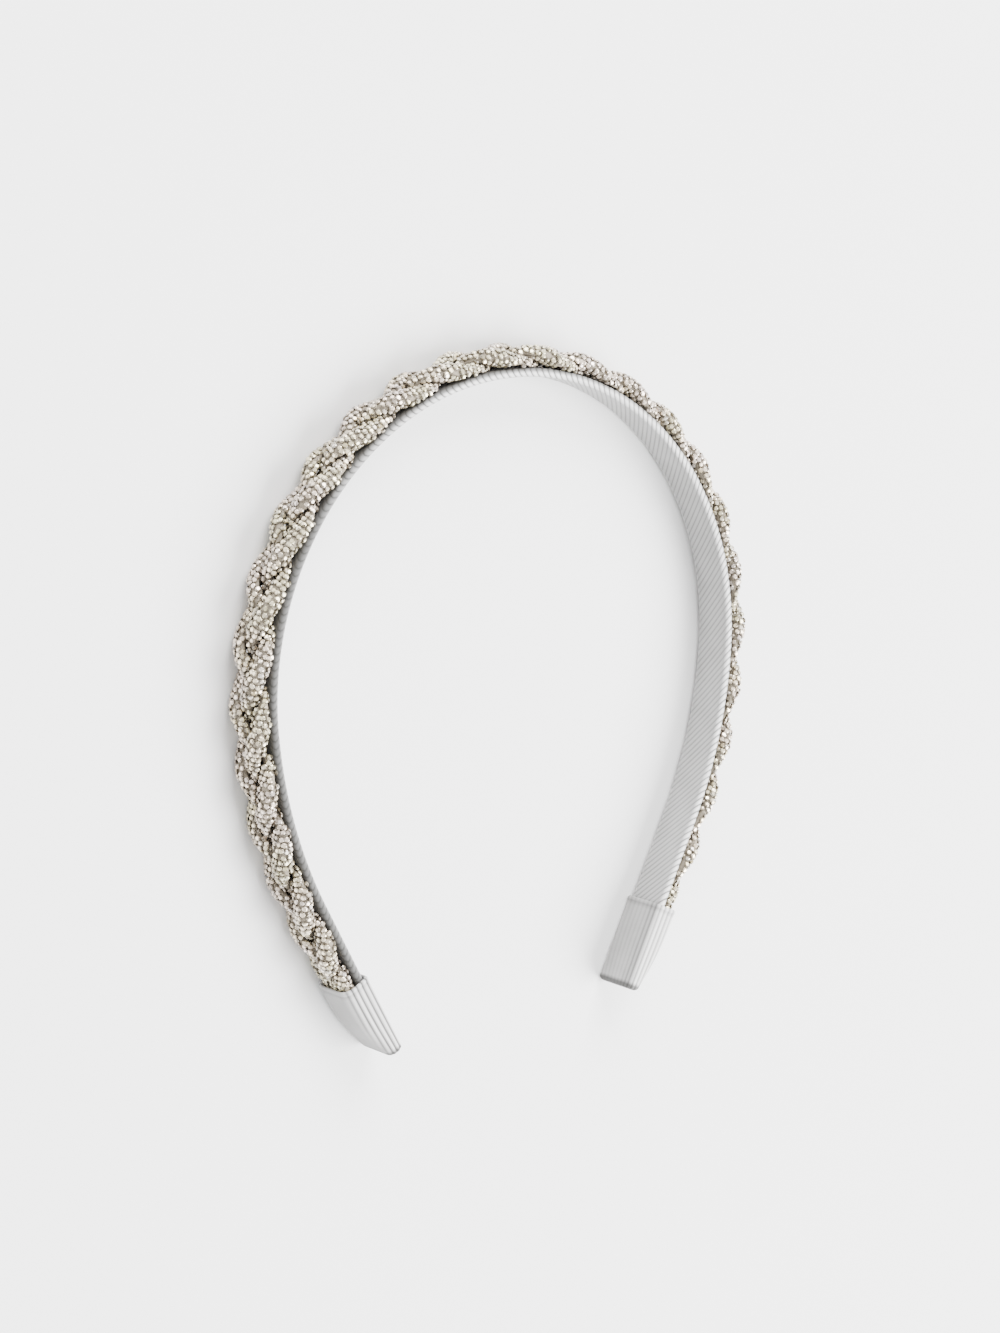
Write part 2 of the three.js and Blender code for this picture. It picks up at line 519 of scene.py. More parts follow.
def mesh_of(name: str, skin: bmesh.types.BMesh, smooth: bool) -> bpy.types.Mesh:
    """Returns a skin as a mesh.

    Args:
        name: The mesh's name.
        skin: The skin, which is used up.
        smooth: Whether it is shaded smooth.
    """
    mesh = bpy.data.meshes.new(name)
    for face in skin.faces:
        face.smooth = smooth
    skin.to_mesh(mesh)
    skin.free()
    return mesh


def smoothstep(value: Array, low: float, high: float) -> Array:
    """Returns a soft step from 0 at one number to 1 at another.

    Args:
        value: Where the step is read.
        low: Where it starts.
        high: Where it ends.
    """
    share = np.clip((value - low) / (high - low), 0.0, 1.0)
    return share * share * (3.0 - 2.0 * share)


@dataclass(frozen=True)
class Oblong:
    """A rounded oblong as a closed line, with one corner radius inside and one outside.

    Attributes:
        width: Size across the band.
        low: Its inner side, out from the band's inner face.
        high: Its outer side.
        low_round: Corner radius at the inner side.
        high_round: Corner radius at the outer side.
    """

    width: float
    low: float
    high: float
    low_round: float
    high_round: float

    def points(self, count: int) -> Array:
        """Samples the line evenly, from the back end of the inner side to the front and round.

        Args:
            count: How many points.

        Returns:
            The points as an array of (across, out, facing across, facing out).
        """
        half = self.width / 2.0
        quarters = []
        for across, out, radius, start in (
            (1, self.low, self.low_round, -90),
            (1, self.high, self.high_round, 0),
            (-1, self.high, self.high_round, 90),
            (-1, self.low, self.low_round, 180),
        ):
            angle = np.radians(np.linspace(start, start + 90, 9))
            inward = radius if out == self.low else -radius
            facing = np.stack([np.cos(angle), np.sin(angle)], axis=-1)
            middle = np.array([across * (half - radius), out + inward])
            quarters.append(np.concatenate([middle + radius * facing, facing], axis=-1))
        line = np.concatenate(quarters)
        line = np.concatenate([line, line[:1]])
        steps = np.hypot(*np.diff(line[:, :2], axis=0).T)
        length = np.concatenate([[0.0], np.cumsum(steps)])
        even = np.linspace(0.0, length[-1], count, endpoint=False)
        return np.stack([np.interp(even, length, line[:, k]) for k in range(4)], axis=-1)


@dataclass(frozen=True)
class Band:
    """The ribbon-covered band, wound so that fine ribs slant over its inner face.

    Attributes:
        arch: The line it follows.
        width: Its width.
        thickness: Its thickness.
        edge_round: Radius of its edges.
        pitch: Distance from rib to rib along the band.
        relief: Height of a rib on the broad faces.
        edge_relief: Height of a rib on the edges.
        flat_ridge: Brightness of a rib on the broad faces, where 1 is as on the edges: painted
            shade that makes the faces darker than the edges.
        contrast: How much darker the painted shade in the grooves is on the broad faces, where 1
            is as on the edges.
        shade: How much the painted shadow of the braid darkens the left leg's edges.
        light_shade: The same painted shadow on the other leg, only beside the braid.
        shade_over: Length over which the one turns into the other.
        samples: Points along the band for each rib.
        around: Points round the band.
        slant: How far a rib moves along the band over one millimetre across.
        edge_slant: The same over one millimetre out, on the edges.
        into_sleeve: Where the band ends, short of the tip.
        square_over: Length near the end over which the ribs turn square.
    """

    arch: Arch
    width: float = 10.1
    thickness: float = 2.0
    edge_round: float = 0.75
    pitch: float = 1.67
    relief: float = 0.055
    edge_relief: float = 0.1
    flat_ridge: float = 0.41
    contrast: float = 0.26
    shade: float = 0.93
    light_shade: float = 0.4
    shade_over: float = 60.0
    samples: int = 6
    around: int = 36
    slant: float = 1.1
    edge_slant: float = 0.7
    into_sleeve: float = 1.6
    square_over: float = 17.0

    def build(self, finish: bpy.types.Material) -> bpy.types.Object:
        """Makes the band and returns it.

        Args:
            finish: Its material.
        """
        end = self.arch.tip - self.into_sleeve
        count = round(2.0 * end / self.pitch) * self.samples
        along = np.linspace(-end, end, count + 1)[:, None]
        oblong = Oblong(self.width, 0.0, self.thickness, self.edge_round, self.edge_round)
        across, out, face_across, face_out = oblong.points(self.around).T
        square = smoothstep(np.abs(along), end - self.square_over, end)
        shift = -self.slant * across - self.edge_slant * out * np.sign(across)
        distance = along + shift * (1.0 - square)
        rib = np.sqrt(np.abs(np.sin(np.pi * np.arange(count + 1) / self.samples)))[:, None]
        edge = np.abs(face_across)
        rise = (self.relief + (self.edge_relief - self.relief) * edge) * (rib - 1.0)
        rows = self.arch.place(distance, out + rise * face_out, across + rise * face_across)
        # Painted light and shade: the edges lit, the broad faces and the grooves darker.
        ridge = self.flat_ridge + (1.0 - self.flat_ridge) * edge
        ridge = ridge + (self.contrast * (1.0 - edge) + edge) * (rib - 1.0)
        height = out / self.thickness
        # Painted shadow of the braid on the band's edges, strongest on the left leg.
        leg = self.shade * smoothstep(-along, 0.0, self.shade_over)
        beside = self.shade * smoothstep(-along, -2.0 * self.shade_over, 0.0)
        beside = np.maximum(beside, self.light_shade) * smoothstep(height, 0.4, 0.85)
        ridge *= 1.0 - np.maximum(leg * smoothstep(height, -0.5, 0.5), beside)
        mesh = mesh_of("band_ribbon", tube(rows, ridge), smooth=True)
        return shown("band_ribbon", mesh, [finish], Slot.RIBBON, "band")


@dataclass(frozen=True)
class Sleeve:
    """A ribbon sleeve: a hollow wedge, ribbed lengthwise, that is folded shut at the tip.

    Attributes:
        arch: The line that it closes.
        side: Which end it is on.
        length: Its length.
        width: Its width.
        step_in: How far it stands proud of the band's inner face.
        mouth: Height of its outer face at the mouth.
        tip: The same at the tip.
        fullness: 1 for a straight wedge, more for a bulging one.
        wall: Its thickness.
        low_round: Corner radius at the inner face.
        high_round: Corner radius at the outer face, where the height leaves room for it.
        ribs: Ribs round it.
        samples: Points round it for each rib.
        relief: Depth of a full groove.
        flat_relief: Depth of a groove on the inner face, as a share of that.
        side_relief: The same on the sides.
        corner_relief: The same on the inner face beside its front edge.
        corner_band: Where that edge starts and is full, in shares of the width.
        calm: How much shallower the grooves are towards the outer face.
        sharpness: 1 for round ribs, more for sharp ones.
        flat_ridge: Brightness of a rib on the broad faces, where 1 is as on the sides: painted
            shade that makes the faces darker than the sides.
        tip_round: Radius of the tip.
        hem: How far the hem at the mouth stands proud.
        hem_width: Width of the hem.
        hem_shade: How much the painted shadow below the hem darkens the ribbon.
        hem_shade_to: Where that ends, in widths of the hem.
        fold_shade: How much painted shade darkens the fold at the tip.
        fold_width: Width of the fold, in radii of the tip.
        outer_fold: Share of that painted shade on the outer face before the tip.
        outer_fold_from: Where it starts there, in shares of the length.
        hem_rings: Rings over the hem, as a distance from the mouth and a share of the hem's rise.
    """

    arch: Arch
    side: Side
    length: float = 21.0
    width: float = 11.4
    step_in: float = 0.8
    mouth: float = 6.2
    tip: float = 2.7
    fullness: float = 2.6
    wall: float = 0.45
    low_round: float = 1.0
    high_round: float = 2.4
    ribs: int = 24
    samples: int = 6
    relief: float = 0.22
    flat_relief: float = 0.1
    side_relief: float = 1.0
    corner_relief: float = 0.0
    corner_band: tuple[float, float] = (0.1, 0.35)
    calm: float = 0.35
    sharpness: float = 1.4
    flat_ridge: float = 0.42
    tip_round: float = 0.9
    hem: float = 0.1
    hem_width: float = 0.9
    hem_shade: float = 0.3
    hem_shade_to: float = 1.6
    fold_shade: float = 0.85
    fold_width: float = 1.1
    outer_fold: float = 0.4
    outer_fold_from: float = 0.6
    hem_rings: tuple[tuple[float, float], ...] = ((0.12, 0.0), (0.3, 1.0), (0.7, 1.0), (0.95, 0.0))

    def ring(self, x: float, inset: float) -> tuple[Array, Array]:
        """Works out one ring of the sleeve.

        Args:
            x: Distance from the mouth towards the tip.
            inset: How far it lies inside the sleeve's smooth outside.

        Returns:
            The ring's points, as distance along, out and across, and their painted light and
            shade.
        """
        count = self.ribs * self.samples
        top = self.mouth + (self.tip - self.mouth) * (x / self.length) ** self.fullness
        low = inset - self.step_in
        high = top - inset
        high_round = min(self.high_round, 0.45 * (high - low))
        oblong = Oblong(self.width - 2.0 * inset, low, high, self.low_round, high_round)
        across, out, face_across, face_out = oblong.points(count).T
        phase = np.arange(count) / self.samples
        rib = np.abs(np.sin(np.pi * phase)) ** self.sharpness
        side = np.abs(face_across) - self.calm * np.maximum(face_out, 0.0)
        corner = smoothstep(across / self.width, *self.corner_band)
        corner *= np.maximum(-face_out, 0.0)
        share = self.flat_relief + self.side_relief * side + self.corner_relief * corner
        share = np.clip(share, 0.0, 1.0)
        depth = self.relief * share * (rib - 1.0)
        if inset >= self.wall:
            depth = np.zeros(count)
        # Painted light and shade: the sides lighter than the faces, the grooves darker.
        ridge = self.flat_ridge + (1.0 - self.flat_ridge) * np.abs(face_across)
        ridge = ridge + share * (rib - 1.0)
        # Painted shade at the folded tip and up the outer face before it, and painted shadow below
        # the hem.
        fold = self.outer_fold * smoothstep(x / self.length, self.outer_fold_from, 1.0)
        at_tip = x > self.length - self.fold_width * self.tip_round
        fold = np.maximum(fold * np.maximum(face_out, 0.0), at_tip)
        ridge *= 1.0 - self.fold_shade * fold
        below_hem = self.hem_width < x < self.hem_shade_to * self.hem_width
        ridge *= 1.0 - self.hem_shade * below_hem
        start = self.side.value * (self.arch.tip - self.length)
        along = np.full(count, start + self.side.value * x)
        return np.stack([along, out + depth * face_out, across + depth * face_across]), ridge

    def build(self, finish: bpy.types.Material) -> bpy.types.Object:
        """Makes the sleeve and returns it.

        Args:
            finish: Its material.
        """
        straight = self.length - self.tip_round
        bottom = self.length - self.wall
        plan = [(x, self.wall) for x in np.linspace(bottom, 0.0, 9)]
        plan.append((0.0, 0.2 * self.wall))
        plan += [(x, -self.hem * share) for x, share in self.hem_rings]
        plan += [(x, 0.0) for x in np.linspace(1.2, straight, 24)]
        for angle in np.radians([20, 40, 60, 80]):
            x = straight + self.tip_round * math.sin(angle)
            plan.append((x, self.tip_round * (1.0 - math.cos(angle))))
        rings = [self.ring(x, inset) for x, inset in plan]
        rows = np.stack([self.arch.place(*ring) for ring, _ in rings])
        ridge = np.stack([rib for _, rib in rings])
        name = f"sleeve_{self.side.name.lower()}"
        mesh = mesh_of(f"{name}_ribbon", tube(rows, ridge), smooth=True)
        return shown(f"{name}_ribbon", mesh, [finish], Slot.RIBBON, name)


@dataclass(frozen=True)
class Braid:
    """Three ropes plaited flat over the band's outer face.

    Attributes:
        arch: The line it follows.
        base: The band's outer face, out from the inner one.
        mouth: Distance along the arch to a sleeve's mouth.
        width: The braid's width.
        pitch: Distance from crossing to crossing.
        short: How far the last crossing is above the mouth.
        rope: Width and height of a rope.
        rise: Mean height of a rope's middle over the band.
        swing: How far a rope rises and sinks from it.
        narrows_over: Length over which the braid narrows into a sleeve.
        tucked: Width and height of a rope inside the sleeve.
        tucked_width: Width of the braid there.
        tucked_rise: Height of its middle there.
        gap: Room between ropes.
        shade_over: How far the painted shade beside a rope reaches, in shares of its half size.
        shade_height: How far the painted shade over the band reaches.
    """

    arch: Arch
    base: float = 2.0
    mouth: float = 170.0
    width: float = 11.5
    pitch: float = 6.6
    short: float = 2.0
    rope: tuple[float, float] = (5.1, 4.2)
    rise: float = 1.75
    swing: float = 1.2
    narrows_over: float = 8.0
    tucked: tuple[float, float] = (3.8, 3.1)
    tucked_width: float = 10.2
    tucked_rise: float = 1.75
    gap: float = 0.4
    shade_over: float = 0.35
    shade_height: float = 0.7

    def middles(self, distance: Array) -> tuple[Array, Array, Array, Array]:
        """Works out where the ropes are.

        Args:
            distance: Distances along the arch.

        Returns:
            Middles across and out, and half widths and half heights, each with one row a rope.
        """
        end = self.mouth - self.short
        crossings = round(2.0 * end / self.pitch)
        share = np.clip((end - distance) / (2.0 * end), 0.0, 1.0)
        tuck = smoothstep(np.abs(distance), self.mouth - self.narrows_over, self.mouth)
        width = self.rope[0] + (self.tucked[0] - self.rope[0]) * tuck
        height = self.rope[1] + (self.tucked[1] - self.rope[1]) * tuck
        reach = 0.5 * (self.width + (self.tucked_width - self.width) * tuck - width)
        rise = self.rise + (self.tucked_rise - self.rise) * tuck
        turn = np.pi + share * crossings * np.pi / 3.0
        turns = turn + np.arange(3)[:, None] * 2.0 * np.pi / 3.0
        across = -reach * np.sin(turns)
        out = rise - self.swing * (1.0 - tuck) * np.sin(2.0 * turns)
        shape = across.shape
        halves = (np.broadcast_to(width / 2.0, shape), np.broadcast_to(height / 2.0, shape))
        return across, out, *halves

    def skin(self, own: int, distance: Array, angle: Array, inset: float) -> tuple[Array, Array]:
        """Works out points on a rope's skin.

        Args:
            own: Which rope.
            distance: Distances along the arch.
            angle: Angles round the rope, from the front edge outward.
            inset: How far below the skin the points lie.

        Returns:
            The points as distance along, out and across, and how far each is pressed in.
        """
        across, out, half_width, half_height = self.middles(distance)
        toward_z, toward_y = np.cos(angle), np.sin(angle)
        free = 1.0 / np.hypot(toward_z / half_width[own], toward_y / half_height[own])
        radius = free
        for other in range(3):
            if other == own:
                continue
            gap_z, gap_y = across[other] - across[own], out[other] - out[own]
            apart = np.hypot(gap_z, gap_y)
            toward = (toward_z * gap_z + toward_y * gap_y) / apart
            limit = (apart - self.gap) / 2.0 / np.maximum(toward, TINY)
            radius = np.minimum(radius, np.where(toward > 0.0, limit, np.inf))
        floor = (out[own] - self.gap) / np.maximum(-toward_y, TINY)
        radius = np.minimum(radius, np.where(toward_y < 0.0, floor, np.inf))
        pressed = free - radius
        radius = radius - inset
        height = self.base + out[own] + radius * toward_y
        return np.stack([distance, height, across[own] + radius * toward_z]), pressed

    def openness(self, own: int, points: Array) -> Array:
        """Works out how clear of the other two ropes and the band some points on a rope lie, to
        set the painted shade between them.

        Args:
            own: Which rope.
            points: The points as distance along, out and across.

        Returns:
            0 where a point touches another rope or the band, up to 1 where it lies open.
        """
        across, out, half_width, half_height = self.middles(points[0])
        clear = np.ones(points.shape[1])
        for other in range(3):
            if other == own:
                continue
            gap_z = (points[2] - across[other]) / half_width[other]
            gap_y = (points[1] - self.base - out[other]) / half_height[other]
            clear = np.minimum(clear, (np.hypot(gap_z, gap_y) - 1.0) / self.shade_over)
        height = points[1] - self.base
        return np.clip(np.minimum(clear, height / self.shade_height), 0.0, 1.0)


@dataclass(frozen=True)
class Cut:
    """A small round crystal with a table, a crown of facets and a pointed back.

    Attributes:
        radius: Its radius.
        rows: Each ring of corners, as its radius and height in shares of the crystal's radius, its
            first angle in degrees and how many corners it has.
        shades: Height from which a facet has a painted brightness, in the same shares, then that
            brightness and how much it varies: painted glints high up, painted shade low down.
    """

    radius: float = 0.69
    rows: tuple[tuple[float, float, float, int], ...] = (
        (0.56, 0.6, 0.0, 6),
        (0.84, 0.36, 0.0, 8),
        (1.0, 0.08, 22.5, 8),
        (0.0, -0.7, 0.0, 1),
    )
    shades: tuple[tuple[float, float, float], ...] = (
        (-1.0, 0.15, 0.15),
        (0.0, 0.18, 0.2),
        (0.35, 0.5, 0.32),
        (0.58, 1.0, 0.05),
    )

    def facets(self) -> tuple[Array, Array]:
        """Makes the crystal.

        Returns:
            Its corners in millimetres, and its triangles.
        """
        stone = bmesh.new()
        for radius, height, first, count in self.rows:
            for step in range(count):
                angle = math.radians(first) + 2.0 * math.pi * step / count
                corner = Vector((math.cos(angle) * radius, math.sin(angle) * radius, height))
                stone.verts.new(corner * self.radius)
        bmesh.ops.convex_hull(stone, input=stone.verts)
        bmesh.ops.triangulate(stone, faces=stone.faces)
        bmesh.ops.recalc_face_normals(stone, faces=stone.faces)
        stone.verts.index_update()
        corners = np.array([vertex.co for vertex in stone.verts])
        triangles = np.array([[vertex.index for vertex in face.verts] for face in stone.faces])
        stone.free()
        return corners, triangles


@dataclass(frozen=True)
class Rope:
    """One rope of the braid: a rough cord covered all round with crystals.

    Attributes:
        braid: The braid that it belongs to.
        own: Its place in the braid.
        cut: The crystal.
        around: Crystals round the rope.
        spacing: Distance from row to row along the rope.
        lean: How many rows a row moves along in one turn round the rope.
        drift: How far each row is turned from the last, in crystals.
        squeezed: How far a crystal may be pressed in by the next rope before it is left out.
        sunk: How far below the rope's skin the crystals' middles lie.
        cord_inset: How far below the skin the cord lies.
        cord_rings: Rings along the cord.
        cord_sides: Points round it.
        tuck: Length of rope inside the sleeve.
        turn_spread: Spread of the crystals' places round the rope, in turns.
        place_spread: Spread of their places along it.
        tilt_spread: Spread of their tilts, as a slope.
        size_spread: Spread of their sizes, as a share.
        bright_spread: Spread of their brightness, as a share.
        shaded: Share of its brightness that a crystal keeps under the painted shade where it
            touches another rope.
        seed: Seed of its small differences.
    """

    braid: Braid
    own: int
    cut: Cut = Cut()
    around: int = 9
    spacing: float = 1.34
    lean: float = 2.0
    drift: float = 0.037
    squeezed: float = 0.45
    sunk: float = 0.36
    cord_inset: float = 0.55
    cord_rings: int = 420
    cord_sides: int = 14
    tuck: float = 3.5
    turn_spread: float = 0.016
    place_spread: float = 0.12
    tilt_spread: float = 0.15
    size_spread: float = 0.04
    bright_spread: float = 0.26
    shaded: float = 0.5
    seed: int = 11

    @property
    def reach(self) -> float:
        """Distance along the arch to the rope's end."""
        return self.braid.mouth + self.tuck

    def point(self, distance: Array, angle: Array, inset: float) -> Array:
        """Returns points on the rope, in metres.

        Args:
            distance: Distances along the arch.
            angle: Angles round the rope.
            inset: How far below its skin.
        """
        points, _ = self.braid.skin(self.own, distance, angle, inset)
        return self.braid.arch.place(*points)

    def rows(self) -> Array:
        """Returns distances along the arch, evenly spaced along the rope's own path."""
        distance = np.linspace(-self.reach, self.reach, 4001)
        across, out, _, _ = self.braid.middles(distance)
        path = self.braid.arch.place(distance, self.braid.base + out[self.own], across[self.own])
        steps = np.linalg.norm(np.diff(path, axis=0), axis=1) / MM
        length = np.concatenate([[0.0], np.cumsum(steps)])
        count = int(length[-1] / self.spacing)
        return np.interp((np.arange(count) + 0.5) * length[-1] / count, length, distance)

    def seats(self, rng: np.random.Generator) -> tuple[Array, Array]:
        """Finds where the crystals sit.

        Args:
            rng: The source of small differences.

        Returns:
            Distances along the arch and angles round the rope, one for each crystal that shows.
        """
        fine = np.linspace(0.0, 2.0 * np.pi, 97)
        places, turns = [], []
        for row, distance in enumerate(self.rows()):
            at = np.full_like(fine, distance)
            points, _ = self.braid.skin(self.own, at, fine, self.sunk)
            steps = np.hypot(np.diff(points[1]), np.diff(points[2]))
            length = np.concatenate([[0.0], np.cumsum(steps)])
            share = (np.arange(self.around) + 0.5 * (row % 2) + self.drift * row) / self.around
            share = (share + rng.normal(0.0, self.turn_spread, self.around)) % 1.0
            angle = np.interp(share * length[-1], length, fine)
            place = distance + self.lean * self.spacing * (share - 0.5)
            place = place + rng.normal(0.0, self.place_spread, self.around)
            _, pressed = self.braid.skin(self.own, place, angle, self.sunk)
            keep = (pressed < self.squeezed) & (np.abs(place) < self.reach)
            places.append(place[keep])
            turns.append(angle[keep])
        return np.concatenate(places), np.concatenate(turns)

    def frames(self, distance: Array, angle: Array, rng: np.random.Generator) -> Array:
        """Works out how each crystal is turned.

        Args:
            distance: Where the crystals sit along the arch.
            angle: Where they sit round the rope.
            rng: The source of small differences.

        Returns:
            One matrix for each crystal, with its axes in columns.
        """
        step = 0.12
        around, along = (
            self.point(distance + move, angle + turn, self.sunk)
            - self.point(distance - move, angle - turn, self.sunk)
            for move, turn in ((0.0, step), (step, 0.0))
        )
        normal = np.cross(around, along)
        normal /= np.linalg.norm(normal, axis=1, keepdims=True)
        along /= np.linalg.norm(along, axis=1, keepdims=True)
        outward = self.point(distance, angle, 0.0) - self.point(distance, angle, self.sunk)
        normal *= np.sign(np.sum(normal * outward, axis=1, keepdims=True))
        normal += rng.normal(0.0, self.tilt_spread, normal.shape)
        normal /= np.linalg.norm(normal, axis=1, keepdims=True)
        side = np.cross(normal, along)
        side /= np.linalg.norm(side, axis=1, keepdims=True)
        front = np.cross(side, normal)
        spin = rng.uniform(0.0, 2.0 * np.pi, (len(distance), 1))
        first = front * np.cos(spin) + side * np.sin(spin)
        return np.stack([first, np.cross(normal, first), normal], axis=-1)

    def core(self) -> bpy.types.Mesh:
        """Makes the rope's cord."""
        distance = np.linspace(-self.reach, self.reach, self.cord_rings)
        angle = np.linspace(0.0, 2.0 * np.pi, self.cord_sides, endpoint=False)
        shape = (self.cord_rings, self.cord_sides)
        points = self.point(
            np.repeat(distance, self.cord_sides), np.tile(angle, self.cord_rings), self.cord_inset
        )
        return mesh_of("cord", tube(points.reshape(*shape, 3), np.zeros(shape)), smooth=True)

    def build(self, crystal: bpy.types.Material, cord: bpy.types.Material) -> bpy.types.Object:
        """Makes the rope and returns it.

        Args:
            crystal: The crystals' material.
            cord: The backing's material.
        """
        rng = np.random.default_rng(self.seed + self.own)
        distance, angle = self.seats(rng)
        frames = self.frames(distance, angle, rng)
        corners, triangles = self.cut.facets()
        count, size, each = len(distance), len(corners), len(triangles)
        scale = rng.normal(1.0, self.size_spread, (count, 1, 1))
        placed = np.einsum("nij,mj->nmi", frames, corners * MM) * scale
        placed += self.point(distance, angle, self.sunk)[:, None, :]
        faces = triangles[None] + (np.arange(count) * size)[:, None, None]
        seats, _ = self.braid.skin(self.own, distance, angle, 0.0)
        # Painted light of each facet: glints, and shade between the ropes.
        tint = self.tints(corners, triangles, self.braid.openness(self.own, seats), rng)
        stone = np.repeat(rng.uniform(0.0, 1.0, count), each)
        name = f"strand_{'abc'[self.own]}"
        core = self.core()
        mesh = joined(name, core, placed.reshape(-1, 3), faces.reshape(-1, 3), tint, stone)
        return shown(f"{name}_crystals", mesh, [crystal, cord], Slot.CRYSTAL, name)

    def tints(
        self, corners: Array, triangles: Array, openness: Array, rng: np.random.Generator
    ) -> Array:
        """Gives each facet its painted brightness: a painted glint on the table, a mixed crown,
        shaded flanks, and painted shade where the ropes touch.

        Args:
            corners: The crystal's corners.
            triangles: Its triangles.
            openness: How clear of the other ropes each crystal lies, which sets its painted shade.
            rng: The source of small differences.

        Returns:
            One number from 0 to 1 for each facet of each crystal.
        """
        height = corners[triangles].mean(axis=1)[:, 2] / self.cut.radius
        start, base, spread = np.array(self.cut.shades).T
        kind = np.searchsorted(start, height) - 1
        table = kind == len(start) - 1
        count = len(openness)
        # Painted glints and shade on each facet.
        drawn = base[kind] + spread[kind] * rng.normal(0.0, 1.0, (count, len(triangles)))
        drawn[:, table] = drawn[:, table].mean(axis=1, keepdims=True)
        stone = np.clip(rng.normal(1.0, self.bright_spread, count), 0.35, 1.3)
        # Painted shade where the crystal touches another rope or the band.
        stone = stone * (self.shaded + (1.0 - self.shaded) * openness)
        return np.clip(drawn * stone[:, None], 0.02, 1.0).reshape(-1)


def joined(
    name: str, core: bpy.types.Mesh, corners: Array, triangles: Array, tint: Array, stone: Array
) -> bpy.types.Mesh:
    """Joins a rope's cord and its crystals into one mesh.

    Args:
        name: The mesh's name.
        core: The cord's mesh, which is used up.
        corners: The crystals' corners.
        triangles: The crystals' triangles.
        tint: Painted light and shade of each triangle.
        stone: Tint of the crystal that each triangle belongs to.

    Returns:
        The joined mesh, whose first material is the crystals'.
    """
    base = np.zeros(len(core.vertices) * 3)
    core.vertices.foreach_get("co", base)
    base = base.reshape(-1, 3)
    core_faces = [tuple(polygon.vertices) for polygon in core.polygons]
    bpy.data.meshes.remove(core)
    mesh = bpy.data.meshes.new(f"{name}_crystals")
    every = np.concatenate([base, corners])
    mesh.from_pydata(every.tolist(), [], core_faces + (triangles + len(base)).tolist())
    cords = len(core_faces)
    blank = np.zeros(cords)
    for attribute, values in ((Attribute.TINT, tint), (Attribute.STONE, stone)):
        layer = mesh.attributes.new(attribute.value, "FLOAT", "FACE")
        layer.data.foreach_set("value", np.concatenate([blank, values]).astype(np.float32))
    total = cords + len(triangles)
    is_cord = np.arange(total) < cords
    mesh.polygons.foreach_set("material_index", is_cord.astype(np.int32))
    mesh.polygons.foreach_set("use_smooth", is_cord)
    mesh.update()
    return mesh


@dataclass(frozen=True)
class Lamp:
    """A soft light that faces the headband.

    Attributes:
        name: Its name.
        place: Where it is, in metres.
        size: Its side in metres.
        power: Its power in watts.
    """

    name: str
    place: tuple[float, float, float]
    size: float
    power: float

    def build(self) -> None:
        """Makes the light."""
        data = bpy.data.lights.new(self.name, "AREA")
        data.size = self.size
        data.energy = self.power
        lamp = bpy.data.objects.new(self.name, data)
        lamp.location = self.place
        lamp.rotation_euler = (-Vector(self.place)).to_track_quat("-Z", "Y").to_euler()
        bpy.context.scene.collection.objects.link(lamp)


@dataclass(frozen=True)
class Studio:
    """The floor, the lights and the camera.

    Attributes:
        target: The crown's inner face, that the camera's place is measured from.
        camera_offset: The camera from there, in millimetres.
        azimuth: How far the view is turned about the axis from tip to crown, in degrees.
        elevation: How far it looks down that axis, in degrees.
        roll: How far the picture is turned, in degrees.
        lens: Focal length in millimetres.
        shift: Shift of the lens.
        clip: Nearest and farthest distance that the camera sees, in metres.
        floor_size: Side of the floor in metres.
        floor_finish: The floor's finish.
        lamps: The lights.
        glow: Strength of the even light from all round.
    """

    target: Vector
    camera_offset: tuple[float, float, float] = (-488.3, 99.85, 592.0)
    azimuth: float = 39.519
    elevation: float = 11.767
    roll: float = 0.5195
    lens: float = 94.39
    shift: tuple[float, float] = (-0.00033, -0.01817)
    clip: tuple[float, float] = (0.01, 20.0)
    floor_size: float = 6.0
    floor_finish: GrainFinish = GrainFinish(
        "pale floor",
        shade=(0.9, 0.9, 0.9),
        light=(0.9, 0.9, 0.9),
        grain=60.0,
        height=0.0,
        roughness=(0.8, 0.1),
        shine=0.1,
    )
    lamps: tuple[Lamp, ...] = (
        Lamp("key", (1.2, -0.8, 1.5), 2.0, 220.0),
        Lamp("fill", (0.1, 1.6, 1.0), 1.2, 85.0),
    )
    glow: float = 1.4

    def camera(self) -> None:
        """Makes the camera, at the photograph's angle to the headband."""
        azimuth, elevation = math.radians(self.azimuth), math.radians(self.elevation)
        look = Vector(
            (
                math.sin(azimuth) * math.cos(elevation),
                -math.sin(elevation),
                -math.cos(azimuth) * math.cos(elevation),
            )
        )
        right = Vector((math.cos(azimuth), 0.0, math.sin(azimuth)))
        up = right.cross(look)
        turned = Matrix.Rotation(math.radians(self.roll), 3, look)
        axes = Matrix((turned @ right, turned @ up, -look)).transposed()
        data = bpy.data.cameras.new("camera")
        data.lens = self.lens
        data.shift_x, data.shift_y = self.shift
        data.clip_start, data.clip_end = self.clip
        camera = bpy.data.objects.new("camera", data)
        place = self.target + Vector(self.camera_offset) * MM
        camera.matrix_world = Matrix.Translation(place) @ axes.to_4x4()
        bpy.context.scene.collection.objects.link(camera)
        bpy.context.scene.camera = camera

    def floor(self) -> None:
        """Makes the floor."""
        sheet = bmesh.new()
        bmesh.ops.create_grid(sheet, x_segments=1, y_segments=1, size=self.floor_size / 2.0)
        mesh = mesh_of("floor", sheet, smooth=False)
        mesh.materials.append(self.floor_finish.material())
        floor = bpy.data.objects.new("floor", mesh)
        bpy.context.scene.collection.objects.link(floor)

    def world(self) -> None:
        """Sets an even white light from all round."""
        world = bpy.data.worlds.new("studio")
        world.use_nodes = True
        background = world.node_tree.nodes["Background"]
        background.inputs["Color"].default_value = (1.0, 1.0, 1.0, 1.0)
        background.inputs["Strength"].default_value = self.glow
        bpy.context.scene.world = world

    def build(self) -> None:
        """Makes the whole studio."""
        self.camera()
        self.floor()
        for lamp in self.lamps:
            lamp.build()
        self.world()


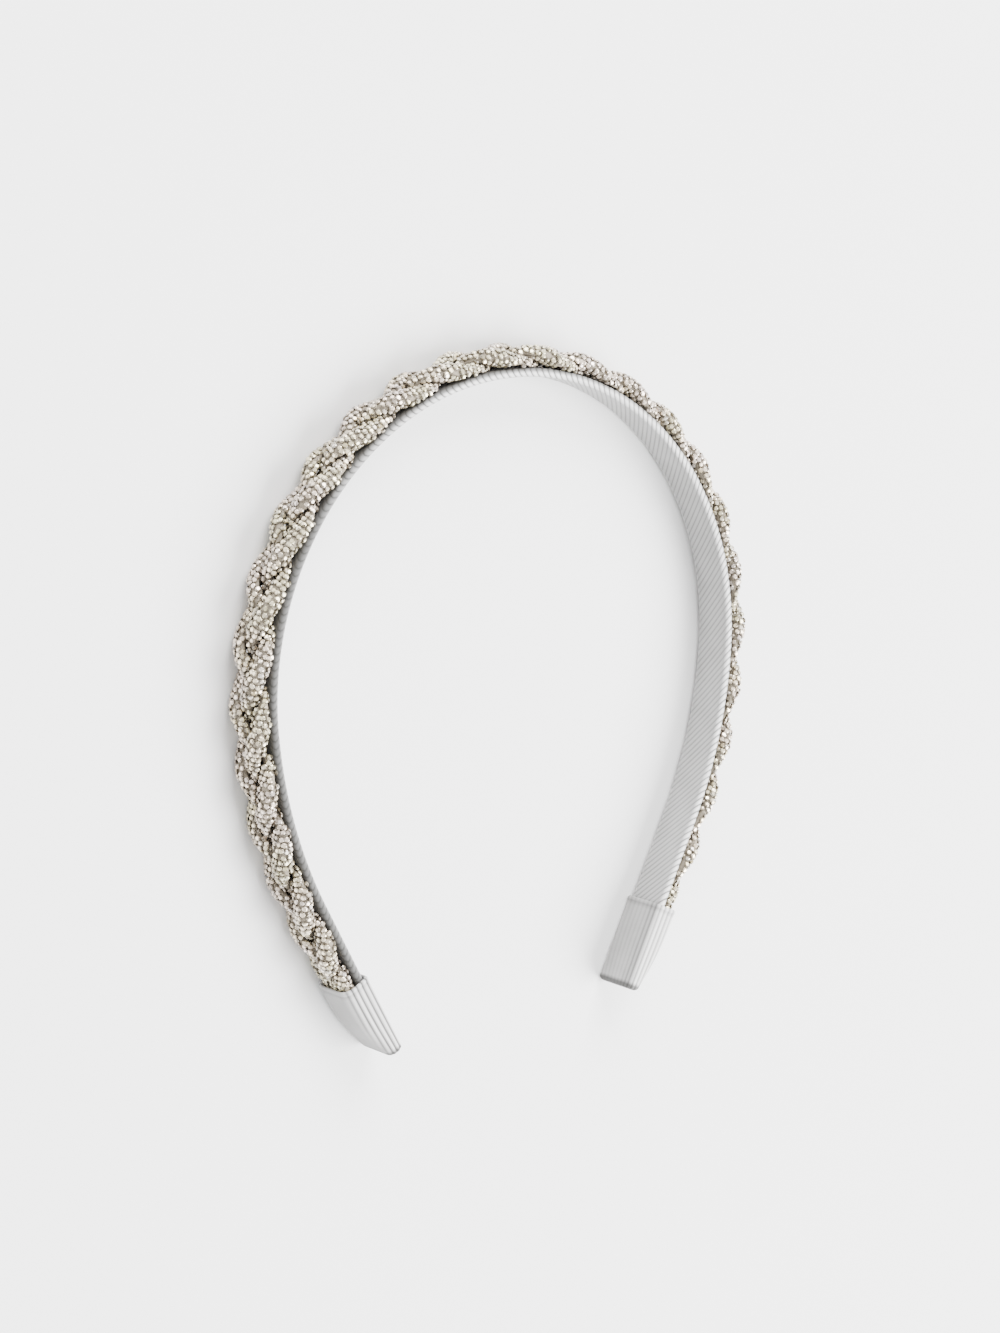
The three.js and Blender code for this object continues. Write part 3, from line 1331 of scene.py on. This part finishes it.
@dataclass(frozen=True)
class Headband:
    """The whole headband, in its finishes.

    Attributes:
        arch: The line that every piece follows.
        ribbon: Finish of the band.
        sleeve: Finish of the sleeves.
        crystal: Finish of the crystals.
        cord: Finish of the backing between them.
    """

    arch: Arch
    ribbon: RibbonFinish = RibbonFinish(
        "band ribbon",
        ridge=(0.96, 0.95, 0.94),
        # The groove colour is the ribbon's painted shade.
        groove=(0.04, 0.039, 0.036),
        stain=(0.6, 0.595, 0.6),
    )
    sleeve: RibbonFinish = RibbonFinish(
        "sleeve ribbon",
        ridge=(0.81, 0.8, 0.79),
        groove=(0.03, 0.029, 0.027),
        stain=(0.58, 0.57, 0.57),
    )
    crystal: CrystalFinish = CrystalFinish(
        "backed crystal",
        # dark and light are the facets' painted shade and painted glint colours.
        dark=(0.07, 0.055, 0.036),
        light=(0.97, 0.83, 0.61),
        warm=(0.5, 0.4, 0.2),
        cool=(0.78, 0.75, 0.74),
        olive=(0.68, 0.64, 0.4),
        rose=(0.82, 0.68, 0.64),
    )
    cord: GrainFinish = GrainFinish(
        "crystal backing",
        shade=(0.12, 0.1, 0.075),
        light=(0.4, 0.345, 0.26),
        grain=0.4,
        height=0.08,
        roughness=(0.7, 0.2),
        shine=0.5,
    )

    def build(self) -> None:
        """Makes every piece."""
        Band(self.arch).build(self.ribbon.material())
        sleeve = self.sleeve.material()
        Sleeve(self.arch, Side.LEFT).build(sleeve)
        Sleeve(self.arch, Side.RIGHT, side_relief=0.6, corner_relief=0.16).build(sleeve)
        crystal, cord = self.crystal.material(), self.cord.material()
        braid = Braid(self.arch, mouth=self.arch.tip - Sleeve.length)
        for own in range(3):
            Rope(braid, own).build(crystal, cord)


def main() -> None:
    """Builds the scene."""
    logging.basicConfig(level=logging.INFO, format="%(name)s %(message)s")
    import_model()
    low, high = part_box("band")
    middle = (low + high) / 2.0
    arch = Arch(Vector((middle.x, high.y - Band.thickness * MM, middle.z)))
    Studio(arch.crown).build()
    Headband(arch).build()
    bpy.context.view_layer.update()


if __name__ == "__main__":
    main()
